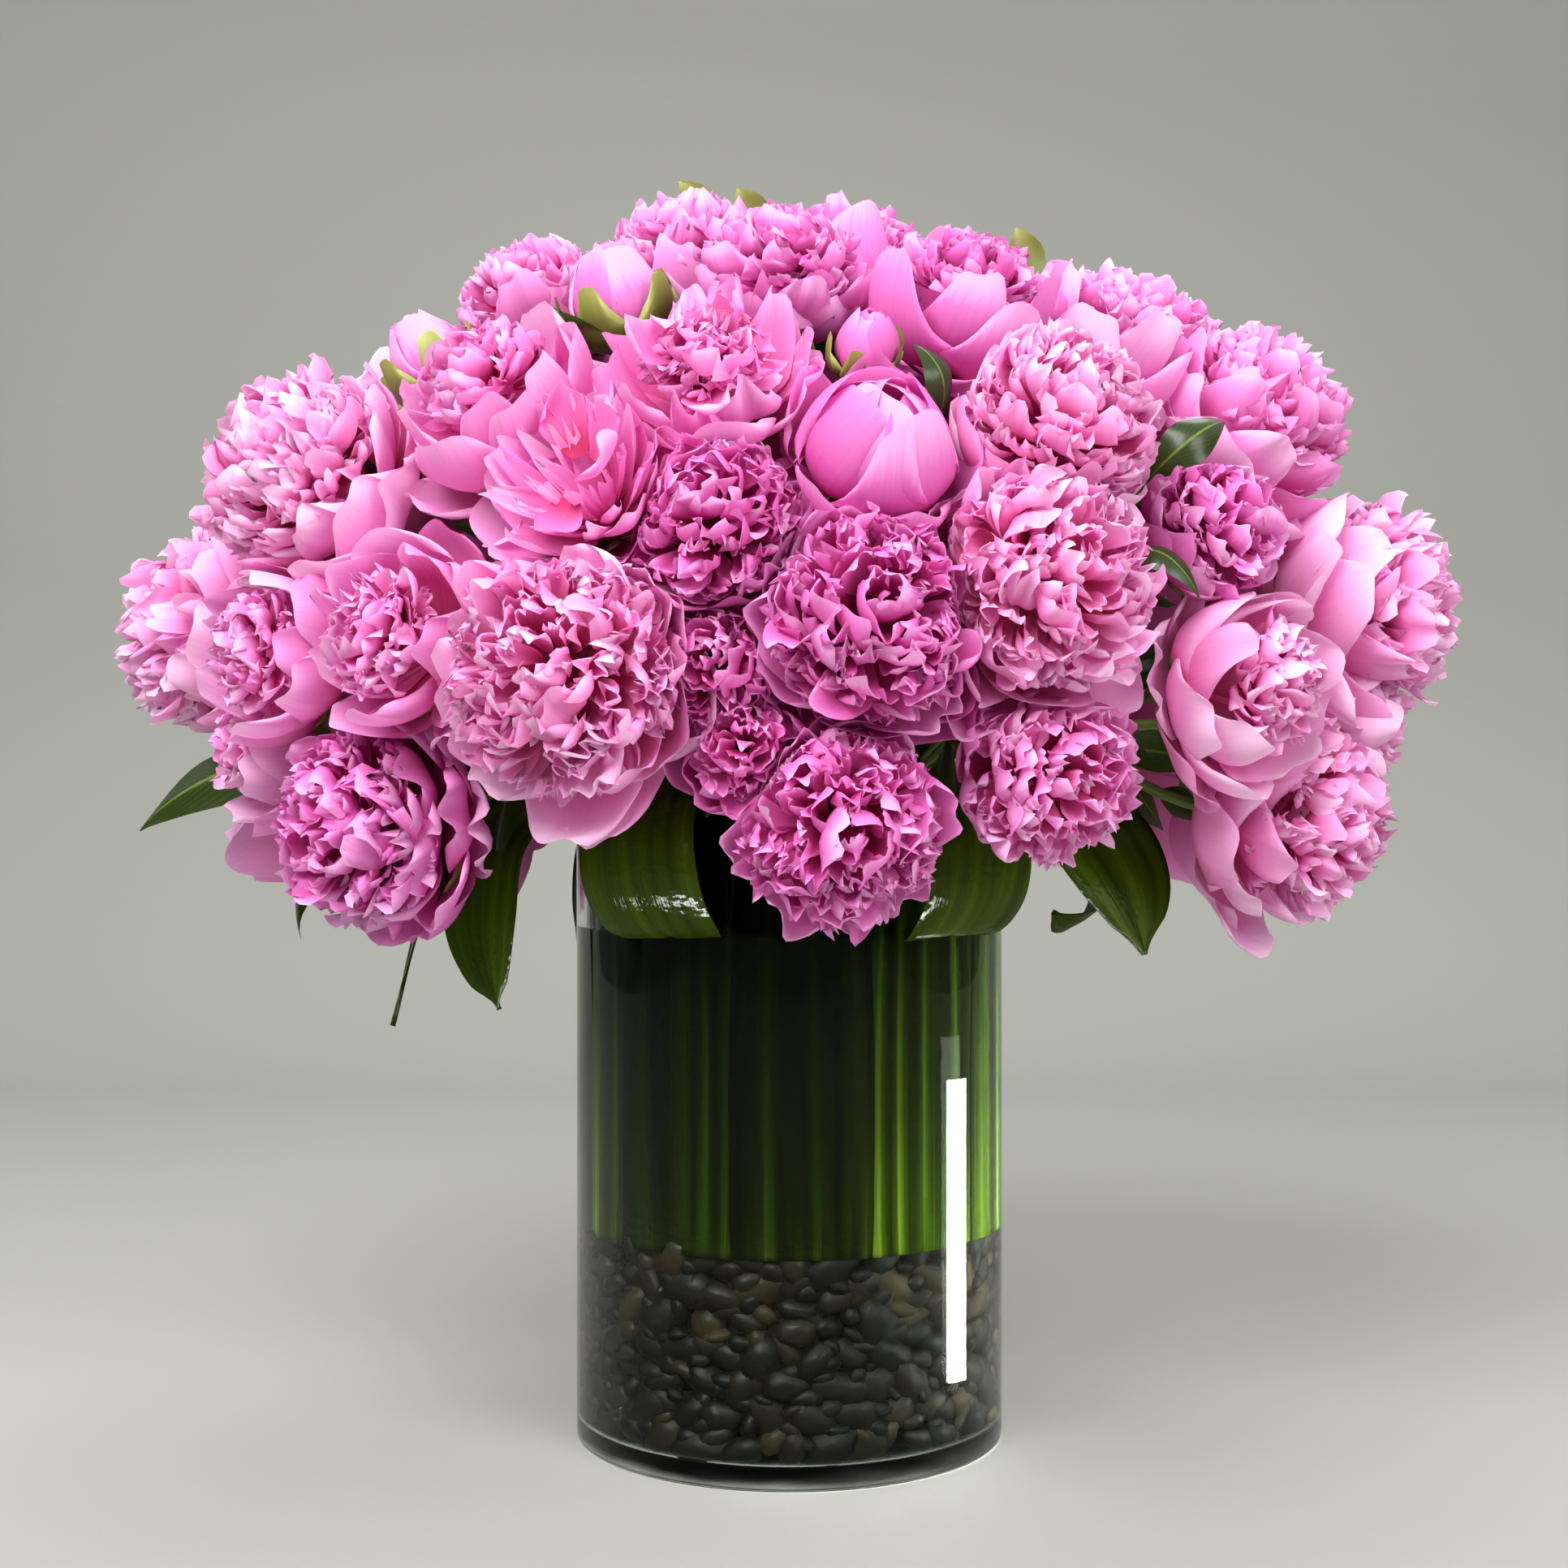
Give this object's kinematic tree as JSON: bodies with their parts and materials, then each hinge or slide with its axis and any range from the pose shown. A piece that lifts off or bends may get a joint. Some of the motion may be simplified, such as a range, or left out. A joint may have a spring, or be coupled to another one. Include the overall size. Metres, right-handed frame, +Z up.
{
  "type": "peonies in a vase",
  "caption": "Domed bouquet of pink double peonies over a collar of strap leaves, in a clear glass cylinder vase with river pebbles and water.",
  "frame": {"origin": "middle of the vase's flat underside", "axes": "+Z up along the vase's axis, -Y towards the front of the bouquet, +X towards its right side as seen from the front"},
  "size_m": [0.7866, 0.5503, 0.7294],
  "materials": {
    "petal": "fresh peony petals: satin, thin and translucent, paler at the rims and deep pink in the folds",
    "leaf": "waxy deep green strap leaf with fine parallel veins",
    "stem": "fresh green stalks and foliage, satin",
    "glass": "clear polished soda-lime glass",
    "water": "still clear water",
    "pebble": "wet tumbled river pebbles, dark brown and grey"
  },
  "bodies": {
    "root": {"pebbles": "pebble", "peony_01": "petal", "peony_02": "petal", "peony_03": "petal", "peony_04": "petal", "peony_05": "petal", "peony_06": "petal", "peony_07": "petal", "peony_08": "petal", "peony_09": "petal", "peony_10": "petal", "peony_11": "petal", "peony_12": "petal", "peony_13": "petal", "peony_14": "petal", "peony_15": "petal", "peony_16": "petal", "peony_17": "petal", "peony_18": "petal", "peony_19": "petal", "peony_20": "petal", "peony_21": "petal", "peony_22": "petal", "peony_23": "petal", "peony_24": "petal", "peony_25": "petal", "peony_26": "petal", "peony_27": "petal", "peony_28": "petal", "peony_29": "petal", "peony_30": "petal", "peony_31": "petal", "peony_32": "petal", "peony_33": "petal", "peony_34": "petal", "peony_35": "petal", "peony_36": "petal", "peony_37": "petal", "peony_38": "petal", "peony_39": "petal", "peony_40": "petal", "peony_41": "petal", "peony_42": "petal", "peony_43": "petal", "peony_44": "petal", "peony_45": "petal", "peony_46": "petal", "stems": "stem", "strap_leaf_01": "leaf", "strap_leaf_02": "leaf", "strap_leaf_03": "leaf", "strap_leaf_04": "leaf", "strap_leaf_05": "leaf", "strap_leaf_06": "leaf", "strap_leaf_07": "leaf", "strap_leaf_08": "leaf", "strap_leaf_09": "leaf", "strap_leaf_10": "leaf", "vase": "glass", "water": "water"}
  },
  "joints": []
}
